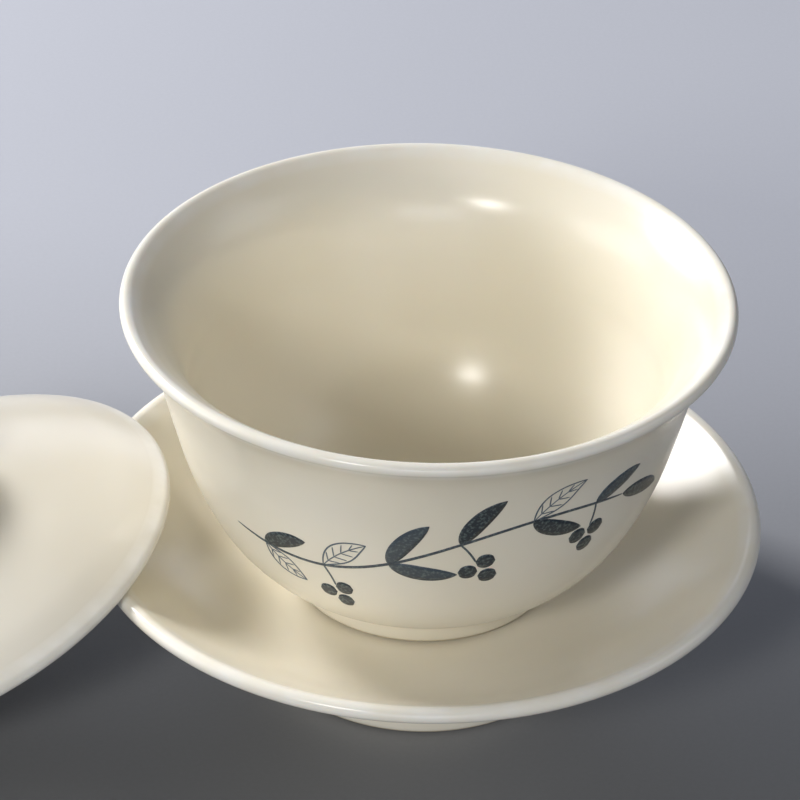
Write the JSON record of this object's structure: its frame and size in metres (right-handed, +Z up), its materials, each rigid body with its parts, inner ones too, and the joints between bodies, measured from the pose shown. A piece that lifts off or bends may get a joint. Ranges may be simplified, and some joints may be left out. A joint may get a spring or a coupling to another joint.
{
  "type": "gaiwan",
  "caption": "Three-piece lidded tea bowl: flared bowl standing on a footed saucer, with its domed lid set down beside it, leaning on the saucer rim.",
  "frame": {"origin": "on the surface the set stands on, under the middle of the box round the saucer, bowl and lid", "axes": "+Z up along the bowl's and saucer's axis; +X from the lid towards the bowl; +Y away from the painted side of the bowl"},
  "size_m": [0.1804, 0.1108, 0.0676],
  "materials": {
    "saucer_glaze": "satin",
    "bowl_glaze": "satin",
    "lid_glaze": "satin",
    "brushed_ink": "satin"
  },
  "bodies": {
    "saucer": {"saucer": "saucer_glaze"},
    "bowl": {"bowl": "bowl_glaze"},
    "lid": {"lid": "lid_glaze"}
  },
  "joints": [
    {"name": "bowl_lift", "type": "slide", "parent": "saucer", "child": "bowl", "axis": [0, 0, 1], "range_m": [0, 0.09]},
    {"name": "lid_lift", "type": "slide", "parent": "saucer", "child": "lid", "axis": [-0.3395, -0.0237, 0.9403], "range_m": [0, 0.12]}
  ]
}
